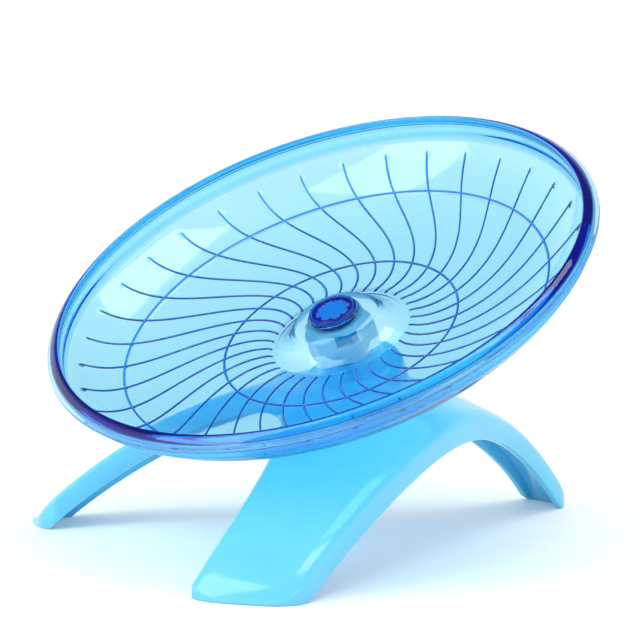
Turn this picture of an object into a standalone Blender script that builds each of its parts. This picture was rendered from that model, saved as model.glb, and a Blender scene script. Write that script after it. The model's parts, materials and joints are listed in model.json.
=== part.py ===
"""Saucer exercise wheel for a hamster: a clear tilted running dish on a three-legged arched stand.

Metres, +Z up. The dish turns on a small ball bearing whose axis leans towards +X, the dish's low side.
The origin is on the ground, below the middle of the whole object.
"""
import bmesh
import bpy
import math
from mathutils import Matrix, Vector

# Fits. Pieces that seat on each other keep the seat gap, and the bearing's own pieces a finer one.
seat_gap = 0.0003
race_gap = 0.00012
cut_overrun = 0.002
merge_distance = 0.00001

# Spin axis. The reach runs along the axis from the stand's crown to the plane of the dish's rim.
axis_tilt = math.radians(29.2)
crown_height = 0.0511
axis_reach = 0.0395

# Dish
rim_radius = 0.0900
rim_bead_radius = 0.00135
dish_wall = 0.0014
dish_depth = 0.0233
bowl_power = 4.0
bowl_fall_power = 0.76
hub_base_radius = 0.0223
hub_rise = 0.0074
neck_radius = 0.0086
running_rib_count = 34
running_rib_width = 0.0010
running_rib_height = 0.0005
running_rib_inner_radius = 0.0226
running_rib_outer_radius = 0.0823
running_rib_fade = 0.0010
rib_sweep = math.radians(25.3)
rib_hook = math.radians(4.3)
rib_hook_share = 0.15
rib_start_angle = math.radians(3.1)
ring_radii = (0.0385, 0.0696)
ring_width = 0.0011
ring_height = 0.0005

# Ball bearing, 5 x 16 x 5 mm
bearing_bore_radius = 0.0025
bearing_outer_radius = 0.0080
bearing_width = 0.0050
inner_ring_wall = 0.0012
outer_ring_wall = 0.0014
ball_count = 7
ball_radius = 0.00139
race_depth = 0.0004
cage_wall = 0.0012
cage_height = 0.0020
shield_thickness = 0.0003
shield_recess = 0.0002
bearing_depth = 0.0260

# Bolt, nut and washers, M5
bolt_radius = 0.0022
bolt_head_flats = 0.0080
bolt_head_height = 0.0035
nut_flats = 0.0080
nut_height = 0.0027
washer_radius = 0.0037
washer_thickness = 0.0008
bolt_end_length = 0.0002

# Bearing carrier
carrier_corner_radius = 0.0113
carrier_skirt = 0.0015
carrier_round_share = 0.30
carrier_top_bore_radius = 0.0056
carrier_window_width = 0.0046
carrier_window_height = 0.0026

# Hub cap
cap_radius = 0.0083
cap_thickness = 0.0013
cap_plug_length = 0.0033
cap_plug_wall = 0.0010
cap_recess_radius = 0.0056
cap_recess_depth = 0.0006
cap_lobe_count = 8
cap_lobe_share = 0.09

# Stand: the side leg, the front leg and the short rear leg under the dish's high side. A leg's angle is
# counted from the dish's low side, seen from above. Its toe is skewed to that line, so the leg sets out
# from the crown one way and swings to the other before it lands.
leg_angles = (math.radians(-63.4), math.radians(17.4), math.radians(161.3))
side_skews = (math.radians(27.8), math.radians(-22.2), math.radians(21.0))
toe_skews = (math.radians(27.8), math.radians(0.5), math.radians(-4.0))
leg_reaches = (0.1062, 0.1069, 0.0810)
leg_widths = (0.0212, 0.0332, 0.0212)
toe_bow = 0.0040
leg_edge_round = 0.0040
leg_flange_depth = 0.0090
arch_flange_depth = 0.0077
stand_wall = 0.0025
foot_toe_height = 0.0028
arch_handle_share = 0.72
crown_power = 1.86
crown_fall_power = 0.88
boss_radius = 0.0095
boss_root_radius = 0.0160
boss_depth = 0.0140
boss_land_radius = 0.0045
boss_land_height = 0.0011
head_pocket_clearance = 0.0005


# Mesh steps and shares
race_steps = 3
small_ring_steps = 24
bearing_steps = 32
boss_steps = 32
carrier_steps = 30
toe_steps = 6
arch_steps = 13
crown_pitch_share = 0.09
cell_snap_share = 0.08
floor_row_shares = (0.11, 0.20, 0.42, 0.60, 0.90)
under_row_shares = (0.94, 0.82, 0.64, 0.36, 0.0)
bead_turns = tuple(math.radians(turn) for turn in (200, 140, 80, 20, -50))
brow_share = 0.30
edge_drop_share = 0.48
under_wall_share = 1.6
cage_low_share = 0.70
carrier_flat_share = 0.10
carrier_window_sill = 0.0006
boss_root_rise = 0.0005
boss_skirt_share = 0.45
ball_pitch_radius = (bearing_bore_radius + inner_ring_wall + bearing_outer_radius - outer_ring_wall) / 2

dish_blue = (0.10, 0.48, 0.90, 1.0)
cap_blue = (0.01, 0.06, 0.55, 1.0)
carrier_white = (0.80, 0.90, 0.94, 1.0)
stand_cyan = (0.10, 0.60, 0.90, 1.0)
steel_grey = (0.60, 0.60, 0.60, 1.0)
cage_ivory = (0.75, 0.72, 0.62, 1.0)


def empty_scene():
    for old in list(bpy.data.objects):
        bpy.data.objects.remove(old)


def new_collection(name):
    collection = bpy.data.collections.new(name)
    bpy.context.scene.collection.children.link(collection)
    return collection


def new_material(name, colour, roughness, metallic=0.0, transmission=0.0):
    material = bpy.data.materials.new(name)
    material.use_nodes = True
    shader = material.node_tree.nodes["Principled BSDF"]
    shader.inputs["Base Color"].default_value = colour
    shader.inputs["Roughness"].default_value = roughness
    shader.inputs["Metallic"].default_value = metallic
    shader.inputs["Transmission Weight"].default_value = transmission
    return material


def place(obj, collection, material=None, parent=None, location=(0, 0, 0)):
    collection.objects.link(obj)
    obj.location = location
    obj.parent = parent
    if material:
        obj.data.materials.append(material)
    return obj


def mark_guide(obj):
    obj.hide_render = True
    obj.display_type = 'WIRE'
    return obj


def smooth(obj, angle=math.radians(35)):
    obj.data.shade_smooth()
    obj.data.set_sharp_from_angle(angle=angle)
    return obj


def turned(name, profile, steps, closed):
    """A profile of radii and heights, top to bottom down its outer side, turned about Z."""
    mesh = bpy.data.meshes.new(name)
    last = len(profile) - 1
    edges = [(i, i + 1) for i in range(last)]
    if closed:
        edges.append((last, 0))
    mesh.from_pydata([(radius, 0, height) for radius, height in profile], edges, [])
    obj = bpy.data.objects.new(name, mesh)
    screw = obj.modifiers.new("turn", 'SCREW')
    screw.steps = steps
    screw.render_steps = steps
    screw.use_merge_vertices = True
    screw.merge_threshold = merge_distance
    screw.use_smooth_shade = True
    return obj


def ring(name, inner, outer, bottom, top, steps=small_ring_steps):
    """A plain ring of rectangular section."""
    profile = [(inner, top), (outer, top), (outer, bottom), (inner, bottom)]
    return turned(name, profile, steps, closed=True)


def plug(name, radius, bottom, top, steps=small_ring_steps):
    """A plain solid cylinder."""
    return turned(name, [(0, top), (radius, top), (radius, bottom), (0, bottom)], steps, closed=False)


def lofted(name, sections):
    """A closed solid through sections with the same number of points, bottom section first."""
    mesh = bmesh.new()
    rows = [[mesh.verts.new(point) for point in section] for section in sections]
    count = len(rows[0])
    for low, high in zip(rows, rows[1:]):
        for i in range(count):
            j = (i + 1) % count
            mesh.faces.new((low[i], low[j], high[j], high[i]))
    mesh.faces.new(list(reversed(rows[0])))
    mesh.faces.new(rows[-1])
    data = bpy.data.meshes.new(name)
    mesh.to_mesh(data)
    mesh.free()
    return bpy.data.objects.new(name, data)


def cut(obj, cutter, operation='DIFFERENCE'):
    boolean = obj.modifiers.new(cutter.name, 'BOOLEAN')
    boolean.operation = operation
    boolean.solver = 'EXACT'
    boolean.object = cutter
    return obj


def hexagon_prism(name, flats, bottom, top):
    """A hexagon bar, sized across its flats."""
    radius = flats / 2 / math.cos(math.pi / 6)
    turns = [math.radians(60) * i for i in range(6)]
    outline = [(radius * math.cos(turn), radius * math.sin(turn)) for turn in turns]
    return lofted(name, [[(x, y, z) for x, y in outline] for z in (bottom, top)])


# Heights along the spin axis are counted from the rim plane, and these all lie below it.
bearing_middle = -bearing_depth
bearing_top = bearing_middle + bearing_width / 2
bearing_bottom = bearing_middle - bearing_width / 2
upper_washer_bottom = bearing_top + seat_gap
nut_bottom = upper_washer_bottom + washer_thickness + seat_gap
nut_top = nut_bottom + nut_height
bolt_top = nut_top + bolt_end_length
lower_washer_top = bearing_bottom - seat_gap
boss_land_top = lower_washer_top - washer_thickness - seat_gap
boss_top = boss_land_top - boss_land_height
crown_level = -axis_reach
boss_bottom = crown_level - boss_depth
head_seat = boss_bottom + bolt_head_height
neck_top = -dish_depth + hub_rise
cap_seat = neck_top + seat_gap
cap_top = cap_seat + cap_thickness
plug_bottom = cap_seat - cap_plug_length


def hub_shell():
    """The dish's hub, from the neck's top to the floor: outer face, then its under face."""
    floor = -dish_depth + running_rib_height
    base = hub_base_radius
    neck = neck_radius
    spread = base - neck
    outer = [(neck - dish_wall / 2, neck_top), (neck, neck_top - dish_wall / 2)]
    flare_shares = ((0.04, 0.36), (0.18, 0.68), (0.50, 0.93))
    for out_share, down_share in flare_shares:
        outer.append((neck + spread * out_share, neck_top + (floor - neck_top) * down_share))
    hole = carrier_top_bore_radius
    under = [(hole, neck_top), (hole, neck_top - dish_wall), (neck - dish_wall, neck_top - dish_wall)]
    for out_share, down_share in flare_shares:
        radius = neck + spread * out_share - dish_wall * math.cos(math.pi / 2 * out_share)
        height = neck_top + (floor - neck_top) * down_share - dish_wall * math.sin(math.pi / 2 * down_share)
        under.append((radius, height))
    return outer, under


def bowl_height(radius, wall=0.0):
    """Height of the running face below the rim plane, or of the face a wall's thickness under it."""
    lip = rim_radius - dish_wall + wall
    share = min(radius / lip, 1.0)
    return -(dish_depth + wall) * (1 - share ** bowl_power) ** bowl_fall_power


def rib_angle(radius):
    """How far a running rib has turned at a radius: a hook by the hub, then one long S to the rim."""
    reach = running_rib_outer_radius - running_rib_inner_radius
    share = min(max((radius - running_rib_inner_radius) / reach, 0.0), 1.0)
    sweep = rib_sweep * (1 - math.cos(math.pi * share)) / 2
    hook = rib_hook * share / rib_hook_share * math.exp(1 - share / rib_hook_share)
    return rib_start_angle + sweep - hook


def rib_lift(radius):
    """How far a running rib stands out at a radius."""
    from_hub = (radius - running_rib_inner_radius) / running_rib_fade
    from_rim = (running_rib_outer_radius - radius) / running_rib_fade
    return running_rib_height * min(max(min(from_hub, from_rim), 0.0), 1.0)


def dish_profile():
    """The dish's closed section as radius, height and rib lift: hub, running face, rim, under face."""
    outer_hub, under_hub = hub_shell()
    rows = [(radius, height, 0.0) for radius, height in outer_hub]
    radii = {running_rib_inner_radius, running_rib_inner_radius + running_rib_fade}
    radii |= {running_rib_outer_radius - running_rib_fade, running_rib_outer_radius}
    span = running_rib_outer_radius - running_rib_inner_radius
    radii |= {running_rib_inner_radius + span * share for share in floor_row_shares}
    for middle in ring_radii:
        radii |= {middle - ring_width / 2, middle, middle + ring_width / 2}
    for radius in sorted(radii):
        ring_lift = ring_height if radius in ring_radii else 0.0
        rib = max(rib_lift(radius) - ring_lift, 0.0)
        rows.append((radius, bowl_height(radius) + ring_lift, rib))
    bead_middle = rim_radius - rim_bead_radius
    wall_top = rim_radius - 2 * rim_bead_radius
    shoulder = (running_rib_outer_radius + wall_top) / 2
    rows.append((shoulder, bowl_height(shoulder), 0.0))
    for turn in bead_turns:
        rows.append((bead_middle + rim_bead_radius * math.cos(turn), rim_bead_radius * math.sin(turn), 0.0))
    for share in under_row_shares:
        radius = hub_base_radius + (wall_top - hub_base_radius) * share
        rows.append((radius, bowl_height(radius, dish_wall), 0.0))
    rows += [(radius, height, 0.0) for radius, height in reversed(under_hub)]
    return rows


def dish_sector():
    """One rib of the dish with the floor up to the next rib, all round the closed section."""
    mesh = bmesh.new()
    pitch = 2 * math.pi / running_rib_count
    columns = [[], [], [], []]
    for radius, height, lift in dish_profile():
        middle = rib_angle(radius)
        half = running_rib_width / 2 / max(radius, running_rib_inner_radius)
        turns = (middle - half, middle, middle + half, middle - half + pitch)
        for column, turn in enumerate(turns):
            top = height + (lift if column == 1 else 0.0)
            columns[column].append(mesh.verts.new((radius * math.cos(turn), radius * math.sin(turn), top)))
    rows = len(columns[0])
    for left, right in zip(columns, columns[1:]):
        for i in range(rows):
            j = (i + 1) % rows
            mesh.faces.new((left[i], left[j], right[j], right[i]))
    data = bpy.data.meshes.new("dish")
    mesh.to_mesh(data)
    mesh.free()
    return data


def make_dish(collection, guides, parent, material):
    """The clear running dish: a repeated rib sector closed into a full turn."""
    turn = mark_guide(bpy.data.objects.new("dish_turn", None))
    guides.objects.link(turn)
    turn.rotation_euler.z = 2 * math.pi / running_rib_count
    dish = place(bpy.data.objects.new("dish", dish_sector()), collection, material, parent)
    turn.parent = dish
    array = dish.modifiers.new("ribs", 'ARRAY')
    array.count = running_rib_count
    array.use_relative_offset = False
    array.use_object_offset = True
    array.offset_object = turn
    array.use_merge_vertices = True
    array.use_merge_vertices_cap = True
    array.merge_threshold = merge_distance
    return smooth(dish)


def make_hub_cap(collection, guides, parent, material):
    """The dark plug in the dish's neck, with a scalloped recess in its face."""
    plug_outer = carrier_top_bore_radius - seat_gap
    plug_inner = plug_outer - cap_plug_wall
    edge = cap_thickness / 3
    profile = [(0, cap_top), (cap_radius - edge, cap_top), (cap_radius, cap_top - edge),
               (cap_radius, cap_seat), (plug_outer, cap_seat), (plug_outer, plug_bottom),
               (plug_inner, plug_bottom), (plug_inner, cap_seat), (0, cap_seat)]
    cap = place(turned("hub_cap", profile, bearing_steps, closed=False), collection, material, parent)
    outline = []
    for i in range(cap_lobe_count * 4):
        turn = 2 * math.pi * i / (cap_lobe_count * 4)
        radius = cap_recess_radius * (1 + cap_lobe_share * (math.cos(cap_lobe_count * turn) - 1))
        outline.append((radius * math.cos(turn), radius * math.sin(turn)))
    levels = (cap_top - cap_recess_depth, cap_top + cut_overrun)
    recess = mark_guide(lofted("cap_recess", [[(x, y, level) for x, y in outline] for level in levels]))
    place(recess, guides, parent=parent)
    return smooth(cut(cap, recess))


def race_profile(ring_face, shoulder, side):
    """A bearing ring's section: a plain face, and a groove round the balls on the other side."""
    pitch = ball_pitch_radius
    groove = ball_radius + race_gap
    half = math.sqrt(groove ** 2 - (pitch - shoulder) ** 2)
    bulge = [math.asin(half / groove) * (1 - 2 * i / race_steps) for i in range(race_steps + 1)]
    track = [(pitch - side * groove * math.cos(turn), bearing_middle + groove * math.sin(turn))
             for turn in bulge]
    return [(ring_face, bearing_top), (shoulder, bearing_top)] + track \
        + [(shoulder, bearing_bottom), (ring_face, bearing_bottom)]


def make_bearing(collection, guides, parents, materials):
    """Rings, balls, cage and shields of a small deep-groove bearing."""
    steel = materials["steel"]
    inner_shoulder = bearing_bore_radius + inner_ring_wall + race_depth
    outer_shoulder = bearing_outer_radius - outer_ring_wall - race_depth
    inner_profile = race_profile(bearing_bore_radius, inner_shoulder, 1)
    inner = turned("bearing_inner_ring", inner_profile, bearing_steps, closed=True)
    smooth(place(inner, collection, steel, parents["stand"]))
    outer_profile = list(reversed(race_profile(bearing_outer_radius, outer_shoulder, -1)))
    outer = turned("bearing_outer_ring", outer_profile, bearing_steps, closed=True)
    smooth(place(outer, collection, steel, parents["wheel"]))
    shield_inner = inner_shoulder + seat_gap
    shield_outer = outer_shoulder - race_gap
    upper = bearing_top - shield_recess
    lower = bearing_bottom + shield_recess
    place(ring("bearing_shield_upper", shield_inner, shield_outer, upper - shield_thickness, upper),
          collection, steel, parents["wheel"])
    place(ring("bearing_shield_lower", shield_inner, shield_outer, lower, lower + shield_thickness),
          collection, steel, parents["wheel"])
    cage_inner = ball_pitch_radius - cage_wall / 2
    cage_outer = ball_pitch_radius + cage_wall / 2
    cage_low = bearing_middle - cage_height * cage_low_share
    cage = ring("bearing_cage", cage_inner, cage_outer, cage_low, cage_low + cage_height, steps=ball_count * 4)
    place(cage, collection, materials["cage"], parents["cage"])
    for i in range(ball_count):
        turn = 2 * math.pi * i / ball_count
        spot = (ball_pitch_radius * math.cos(turn), ball_pitch_radius * math.sin(turn), bearing_middle)
        ball = place(sphere(f"bearing_ball_{i + 1}", ball_radius), collection, steel, parents["cage"], spot)
        smooth(ball)
        pocket = place(mark_guide(sphere(f"ball_pocket_{i + 1}", ball_radius + race_gap)), guides,
                       parent=parents["cage"], location=spot)
        cut(cage, pocket)
    return smooth(cage)


def sphere(name, radius):
    mesh = bmesh.new()
    bmesh.ops.create_uvsphere(mesh, u_segments=10, v_segments=6, radius=radius)
    data = bpy.data.meshes.new(name)
    mesh.to_mesh(data)
    mesh.free()
    return bpy.data.objects.new(name, data)


def make_carrier(collection, guides, parent, material):
    """The white bearing carrier: six soft facets that follow the hub's under face, with three windows."""
    _, under_hub = hub_shell()
    bottom = bearing_bottom - carrier_skirt
    edge = carrier_skirt / 3
    levels = [(bottom, carrier_corner_radius - edge), (bottom + edge, carrier_corner_radius)]
    shoulder_level = bowl_height(carrier_corner_radius) - seat_gap
    levels.append((shoulder_level, carrier_corner_radius))
    for radius, height in reversed(under_hub):
        if carrier_top_bore_radius < radius < carrier_corner_radius:
            levels.append((height - seat_gap, radius - seat_gap))
    sections = []
    for height, corner in levels:
        section = []
        for i in range(carrier_steps):
            turn = 2 * math.pi * i / carrier_steps
            radius = corner * (1 - carrier_flat_share * (1 - math.cos(6 * turn)) / 2)
            section.append((radius * math.cos(turn), radius * math.sin(turn), height))
        sections.append(section)
    carrier = place(lofted("bearing_carrier", sections), collection, material, parent)
    seat = bearing_outer_radius + seat_gap
    shelf = bearing_top + seat_gap
    hole = [(0, levels[-1][0] + cut_overrun), (carrier_top_bore_radius, levels[-1][0] + cut_overrun),
            (carrier_top_bore_radius, shelf), (seat, shelf), (seat, bottom - cut_overrun),
            (0, bottom - cut_overrun)]
    bore = place(mark_guide(turned("carrier_bore", hole, bearing_steps, closed=False)), guides, parent=parent)
    cut(carrier, bore)
    window_low = shelf + carrier_window_sill
    for i in range(3):
        turn = math.radians(30 + 120 * i)
        direction = Vector((math.cos(turn), math.sin(turn), 0))
        side = Vector((-math.sin(turn), math.cos(turn), 0)) * carrier_window_width / 2
        start = direction * (carrier_top_bore_radius - cap_plug_wall)
        end = direction * (carrier_corner_radius + cut_overrun)
        base = [start - side, end - side, end + side, start + side]
        sections = [[tuple(corner + Vector((0, 0, level))) for corner in base]
                    for level in (window_low, window_low + carrier_window_height)]
        window = place(mark_guide(lofted(f"carrier_window_{i + 1}", sections)), guides, parent=parent)
        cut(carrier, window)
    return smooth(carrier)


def make_fasteners(collection, guides, parent, material):
    """The bolt that carries the bearing, its nut and the two washers."""
    head = hexagon_prism("axle_bolt", bolt_head_flats, boss_bottom, head_seat - seat_gap)
    place(head, collection, material, parent)
    shank = place(mark_guide(plug("bolt_shank", bolt_radius, boss_bottom + bolt_head_height / 2, bolt_top)),
                  guides, parent=parent)
    smooth(cut(head, shank, 'UNION'))
    hole = bolt_radius + seat_gap
    nut = place(hexagon_prism("lock_nut", nut_flats, nut_bottom, nut_top), collection, material, parent)
    nut_hole = plug("nut_hole", hole, nut_bottom - cut_overrun, nut_top + cut_overrun)
    smooth(cut(nut, place(mark_guide(nut_hole), guides, parent=parent)))
    upper = upper_washer_bottom
    smooth(place(ring("upper_washer", hole, washer_radius, upper, upper + washer_thickness),
                 collection, material, parent))
    lower = lower_washer_top - washer_thickness
    smooth(place(ring("lower_washer", hole, washer_radius, lower, lower_washer_top),
                 collection, material, parent))


def leg_axes(leg):
    """A leg's outward direction, the direction its sides run and the one its toe end faces, from above."""
    turn = leg_angles[leg]
    return [Vector((math.cos(angle), math.sin(angle)))
            for angle in (turn, turn + side_skews[leg], turn + toe_skews[leg])]


def toe_point(leg, share):
    """A point of a leg's bowed toe end, from its right corner at 0 to its left corner at 1."""
    out, _, facing = leg_axes(leg)
    left = Vector((-facing.y, facing.x))
    middle = out * leg_reaches[leg] + left * leg_widths[leg] * (share - 0.5)
    return middle - facing * toe_bow * (2 * share - 1) ** 4


def stand_outline():
    """The stand seen from above, and how far each point is along its arch: toes joined by three arches."""
    outline = []
    for leg in range(3):
        following = (leg + 1) % 3
        for i in range(toe_steps + 1):
            outline.append((toe_point(leg, i / toe_steps), 0.0))
        start, end = toe_point(leg, 1.0), toe_point(following, 0.0)
        start_handle = start - leg_axes(leg)[1] * leg_reaches[leg] * arch_handle_share
        end_handle = end - leg_axes(following)[1] * leg_reaches[following] * arch_handle_share
        for i in range(1, arch_steps):
            share = i / arch_steps
            rest = 1 - share
            point = start * rest ** 3 + start_handle * 3 * rest ** 2 * share
            point = point + end_handle * 3 * rest * share ** 2 + end * share ** 3
            outline.append((point, (1 - math.cos(2 * math.pi * share)) / 2))
    return outline


def inset(points, distance):
    """An outline drawn in by a distance, with mitred corners."""
    drawn = []
    count = len(points)
    for i, point in enumerate(points):
        before = (point - points[i - 1]).normalized()
        after = (points[(i + 1) % count] - point).normalized()
        normal_before = Vector((-before.y, before.x))
        normal_after = Vector((-after.y, after.x))
        mitre = (normal_before + normal_after) / (1 + normal_before.dot(normal_after))
        drawn.append(point + mitre * distance)
    return drawn


def crown_radius(point):
    """Where the crown's curve would meet the ground in a point's direction: eased from leg to leg."""
    toe_share = (foot_toe_height / crown_height) ** (1 / crown_fall_power)
    feet = [reach / (1 - toe_share) ** (1 / crown_power) for reach in leg_reaches]
    turn = math.atan2(point.y, point.x)
    for leg in range(3):
        following = (leg + 1) % 3
        gap = (leg_angles[following] - leg_angles[leg]) % (2 * math.pi)
        along = (turn - leg_angles[leg]) % (2 * math.pi)
        if along <= gap:
            ease = (1 - math.cos(math.pi * along / gap)) / 2
            return feet[leg] + (feet[following] - feet[leg]) * ease
    return feet[0]


def crown_surface(point, wall=0.0):
    """Height of the stand's upper face over a point, or of the face a wall's thickness inside it."""
    share = point.length / (crown_radius(point) - wall * under_wall_share)
    return (crown_height - wall) * max(1 - share ** crown_power, 0.0) ** crown_fall_power


def crown_patch(outline):
    """A flat face inside an outline, cut both ways into cells."""
    mesh = bmesh.new()
    mesh.faces.new([mesh.verts.new((point.x, point.y, 0)) for point in outline])
    pitch = max(leg_reaches) * crown_pitch_share
    for axis in range(2):
        low = min(point[axis] for point in outline)
        high = max(point[axis] for point in outline)
        across = Vector((1 - axis, axis, 0))
        count = math.ceil((high - low) / pitch)
        for i in range(1, count):
            middle = across * (low + (high - low) * i / count)
            bmesh.ops.bisect_plane(mesh, geom=mesh.verts[:] + mesh.edges[:] + mesh.faces[:],
                                   plane_co=middle, plane_no=across, dist=pitch * cell_snap_share)
    return mesh


def patch_border(mesh):
    """The vertices round a patch, in order."""
    onward = {}
    for face in mesh.faces:
        for loop in face.loops:
            if loop.edge.is_boundary:
                onward[loop.vert] = loop.link_loop_next.vert
    border = [next(iter(onward))]
    while onward[border[-1]] is not border[0]:
        border.append(onward[border[-1]])
    return border


def place_on_outline(spot, outline):
    """Which stretch of an outline a border point lies on, and how far along it."""
    best = None
    for i, start in enumerate(outline):
        stretch = outline[(i + 1) % len(outline)] - start
        along = min(max((spot - start).dot(stretch) / stretch.length_squared, 0.0), 1.0)
        miss = (start + stretch * along - spot).length
        if best is None or miss < best[0]:
            best = (miss, i, along)
    return best[1], best[2]


def edge_section(edge, brow, inner, arch):
    """The turned-down edge at one point: over the brow, down the flange, under its sole and up inside."""
    depth = leg_flange_depth + (arch_flange_depth - leg_flange_depth) * arch
    sole = max(crown_surface(edge) - depth, 0.0)
    edge_drop = leg_edge_round * edge_drop_share
    lip = max(crown_surface(edge) - edge_drop, sole + foot_toe_height / 4)
    brow_height = max(crown_surface(brow) - edge_drop * brow_share, lip + foot_toe_height / 8)
    ceiling = max(crown_surface(inner, stand_wall), sole + foot_toe_height / 8)
    return [(*brow, brow_height), (*edge, lip), (*edge, sole), (*inner, sole), (*inner, ceiling)]


def stand_shell():
    """The thin crown with its legs: an upper and a lower patch joined round their borders."""
    outline = stand_outline()
    edges = [point for point, _ in outline]
    ridges = inset(edges, leg_edge_round)
    brows = inset(edges, leg_edge_round * brow_share)
    inners = inset(edges, stand_wall)
    mesh = crown_patch(ridges)
    upper = list(mesh.faces)
    border = patch_border(mesh)
    under = {vertex: mesh.verts.new(vertex.co) for face in upper for vertex in face.verts}
    for face in upper:
        mesh.faces.new([under[vertex] for vertex in reversed(face.verts)])
    columns = []
    for vertex in border:
        i, along = place_on_outline(vertex.co.to_2d(), ridges)
        j = (i + 1) % len(outline)
        arch = outline[i][1] + (outline[j][1] - outline[i][1]) * along
        section = edge_section(edges[i].lerp(edges[j], along), brows[i].lerp(brows[j], along),
                               inners[i].lerp(inners[j], along), arch)
        columns.append([vertex] + [mesh.verts.new(point) for point in section] + [under[vertex]])
    for left, right in zip(columns, columns[1:] + columns[:1]):
        for i in range(len(left) - 1):
            mesh.faces.new((right[i], left[i], left[i + 1], right[i + 1]))
    for top, bottom in under.items():
        spot = top.co.to_2d()
        top.co.z = crown_surface(spot)
        bottom.co.z = crown_surface(spot, stand_wall)
    data = bpy.data.meshes.new("stand")
    mesh.to_mesh(data)
    mesh.free()
    return data


def make_stand(collection, guides, frame, axis, material):
    """The three-legged stand: a thin crown with turned-down edges and a tilted boss for the bolt."""
    stand = place(bpy.data.objects.new("stand", stand_shell()), collection, material, frame)
    root_top = crown_level + boss_root_rise
    neck_end = (boss_top + root_top) / 2
    profile = [(0, boss_land_top), (boss_land_radius, boss_land_top), (boss_land_radius, boss_top),
               (boss_radius, boss_top), (boss_radius, neck_end), (boss_root_radius, root_top),
               (boss_root_radius, crown_level - boss_depth * boss_skirt_share),
               (boss_radius, boss_bottom), (0, boss_bottom)]
    boss = place(mark_guide(turned("stand_boss", profile, boss_steps, closed=False)), guides, parent=axis)
    cut(stand, boss, 'UNION')
    hole = plug("bolt_hole", bolt_radius + seat_gap, boss_bottom - cut_overrun, boss_land_top + cut_overrun)
    cut(stand, place(mark_guide(hole), guides, parent=axis))
    pocket = hexagon_prism("head_pocket", bolt_head_flats + head_pocket_clearance,
                           boss_bottom - cut_overrun, head_seat)
    cut(stand, place(mark_guide(pocket), guides, parent=axis))
    return smooth(stand, math.radians(30))


def centre_on_ground(frame, parts):
    """Moves the whole so that the origin is on the ground, below the middle of its bounding box."""
    bpy.context.view_layer.update()
    depsgraph = bpy.context.evaluated_depsgraph_get()
    corners = []
    for part in parts:
        shape = part.evaluated_get(depsgraph)
        data = shape.to_mesh()
        corners += [shape.matrix_world @ vertex.co for vertex in data.vertices]
        shape.to_mesh_clear()
    low = [min(corner[i] for corner in corners) for i in range(3)]
    high = [max(corner[i] for corner in corners) for i in range(3)]
    frame.location = (-(low[0] + high[0]) / 2, -(low[1] + high[1]) / 2, -low[2])
    bpy.context.view_layer.update()


def new_empty(name, collection, parent=None, location=(0, 0, 0)):
    empty = bpy.data.objects.new(name, None)
    collection.objects.link(empty)
    empty.parent = parent
    empty.location = location
    return empty


def build():
    empty_scene()
    collection = new_collection("saucer_wheel")
    guides = new_collection("guides")
    frame = new_empty("ground_frame", guides)
    axis = new_empty("spin_axis", guides, frame)
    axis.rotation_euler.y = axis_tilt
    lean = Vector((math.sin(axis_tilt), 0, math.cos(axis_tilt)))
    axis.location = Vector((0, 0, crown_height)) + lean * axis_reach
    materials = {
        "dish": new_material("dish_clear_blue", dish_blue, 0.05, transmission=0.8),
        "cap": new_material("cap_dark_blue", cap_blue, 0.15),
        "carrier": new_material("carrier_white", carrier_white, 0.3),
        "stand": new_material("stand_cyan", stand_cyan, 0.15),
        "steel": new_material("bright_steel", steel_grey, 0.25, metallic=1.0),
        "cage": new_material("cage_ivory", cage_ivory, 0.5),
    }
    carried = {"stand": axis, "wheel": axis, "cage": axis}
    make_stand(collection, guides, frame, axis, materials["stand"])
    make_fasteners(collection, guides, axis, materials["steel"])
    make_bearing(collection, guides, carried, materials)
    make_carrier(collection, guides, axis, materials["carrier"])
    make_dish(collection, guides, axis, materials["dish"])
    make_hub_cap(collection, guides, axis, materials["cap"])
    centre_on_ground(frame, collection.objects)


build()
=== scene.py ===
# %% [markdown]
# # A clear running saucer on its arched stand
#
# This lesson dresses a small exercise wheel: a tilted saucer of clear blue plastic that turns on a ball
# bearing, above a glossy stand with three arched legs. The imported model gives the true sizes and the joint.
# We keep those, and make finer surfaces, finishes and light round them.

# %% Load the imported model
import bmesh
import bpy
import json
import math
from mathutils import Matrix, Vector


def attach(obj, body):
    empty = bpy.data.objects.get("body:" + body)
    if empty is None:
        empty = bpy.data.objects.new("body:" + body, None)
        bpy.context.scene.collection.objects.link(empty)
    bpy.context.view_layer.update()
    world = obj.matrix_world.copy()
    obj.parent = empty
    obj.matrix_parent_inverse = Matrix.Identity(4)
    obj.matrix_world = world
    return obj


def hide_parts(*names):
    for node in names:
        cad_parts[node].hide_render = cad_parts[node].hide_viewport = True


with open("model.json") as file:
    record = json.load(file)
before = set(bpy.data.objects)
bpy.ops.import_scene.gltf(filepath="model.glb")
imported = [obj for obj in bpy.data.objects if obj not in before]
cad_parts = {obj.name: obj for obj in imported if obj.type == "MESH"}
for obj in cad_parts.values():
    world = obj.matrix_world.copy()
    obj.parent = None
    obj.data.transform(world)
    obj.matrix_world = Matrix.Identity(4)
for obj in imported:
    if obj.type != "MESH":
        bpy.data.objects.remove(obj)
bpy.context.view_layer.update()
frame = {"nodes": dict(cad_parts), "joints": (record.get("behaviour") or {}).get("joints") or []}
scene = bpy.context.scene
scene.view_settings.view_transform = 'Standard'
print("nodes:", sorted(frame["nodes"]))

# %% [markdown]
# ## The spin axis
#
# Everything on the wheel is turned about one leaning axis. We could copy its numbers, but the model's joint
# already holds them, so we read the axis there and build one matrix that puts wheel drawings in place:
# X towards the saucer's low side, Z up the axis, zero at the middle of the rim.

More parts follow.
